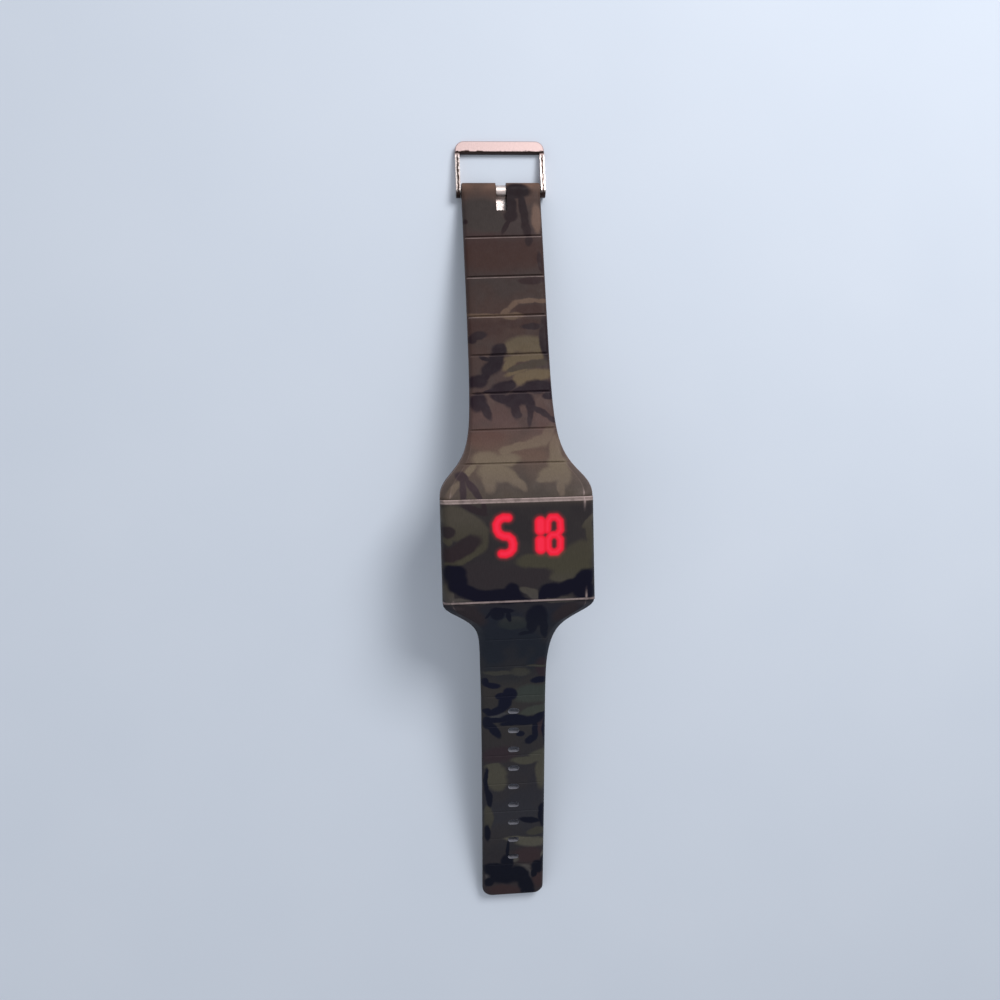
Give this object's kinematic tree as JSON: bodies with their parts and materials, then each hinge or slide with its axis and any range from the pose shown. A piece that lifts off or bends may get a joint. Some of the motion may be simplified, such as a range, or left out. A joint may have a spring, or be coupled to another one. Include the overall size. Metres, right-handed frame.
{
  "type": "led watch",
  "caption": "Touch-operated LED wristwatch with a rectangular printed face on a one-piece camouflage silicone band with a steel pin buckle, laid open face up.",
  "frame": {"origin": "on the table under the middle of the watch's length and width, the watch lying open and face up on the two ends of its band", "axes": "+Z out of the face, +Y along the band towards the buckle, +X across the band"},
  "size_m": [0.042, 0.2294, 0.0324],
  "materials": {
    "camouflage_silicone": "satin-matt printed silicone",
    "printed_face": "satin, printed",
    "smoky_film": "clear smoky film",
    "black_mask": "matt",
    "red_light": "lit",
    "dark_segment": "unlit",
    "led_chip": "satin",
    "copper": "bare",
    "board_green": "solder mask",
    "resin": "smooth resin",
    "crystal_can": "drawn can",
    "resistor": "matt",
    "carrier_plastic": "moulded",
    "cell_steel": "brushed",
    "spring_brass": "bare",
    "amber_film": "film",
    "gasket_rubber": "matt",
    "back_steel": "brushed",
    "screw_steel": "bright",
    "buckle_steel": "polished, fine scratches",
    "pin_steel": "bright"
  },
  "bodies": {
    "head_and_band": {"silicone_band": "camouflage_silicone", "face_cap": "printed_face", "light_filter": "smoky_film", "digit_mask": "black_mask", "lit_segments": "red_light", "unlit_segments": "dark_segment", "led_chips": "led_chip", "touch_plate": "copper", "circuit_board": "board_green", "control_chip": "resin", "crystal": "crystal_can", "resistors": "resistor", "module_frame": "carrier_plastic", "coin_cell": "cell_steel", "battery_minus_contact": "spring_brass", "battery_plus_contact": "spring_brass", "battery_insulator": "amber_film", "back_gasket": "gasket_rubber", "back_cover": "back_steel", "back_screws": "screw_steel", "spring_bar_barrel": "pin_steel", "spring_bar_spring": "pin_steel"},
    "frame": {"buckle_frame": "buckle_steel"},
    "tongue": {"buckle_tongue": "buckle_steel"},
    "pin_end_left": {"spring_bar_tip_left": "pin_steel"},
    "pin_end_right": {"spring_bar_tip_right": "pin_steel"}
  },
  "joints": [
    {"name": "frame_swing", "type": "hinge", "parent": "head_and_band", "child": "frame", "pos_m": [0, 0.1, 0.00225], "axis": [1, 0, 0], "range_deg": [-150, 150]},
    {"name": "tongue_swing", "type": "hinge", "parent": "head_and_band", "child": "tongue", "pos_m": [0, 0.1, 0.00225], "axis": [1, 0, 0], "range_deg": [-4, 162]},
    {"name": "pin_end_left_press", "type": "slide", "parent": "head_and_band", "child": "pin_end_left", "axis": [1, 0, 0], "range_m": [0, 0.0012], "stiffness_N_per_m": 300, "deforming": ["spring_bar_spring"]},
    {"name": "pin_end_right_press", "type": "slide", "parent": "head_and_band", "child": "pin_end_right", "axis": [-1, 0, 0], "range_m": [0, 0.0012], "stiffness_N_per_m": 300, "deforming": ["spring_bar_spring"]}
  ]
}
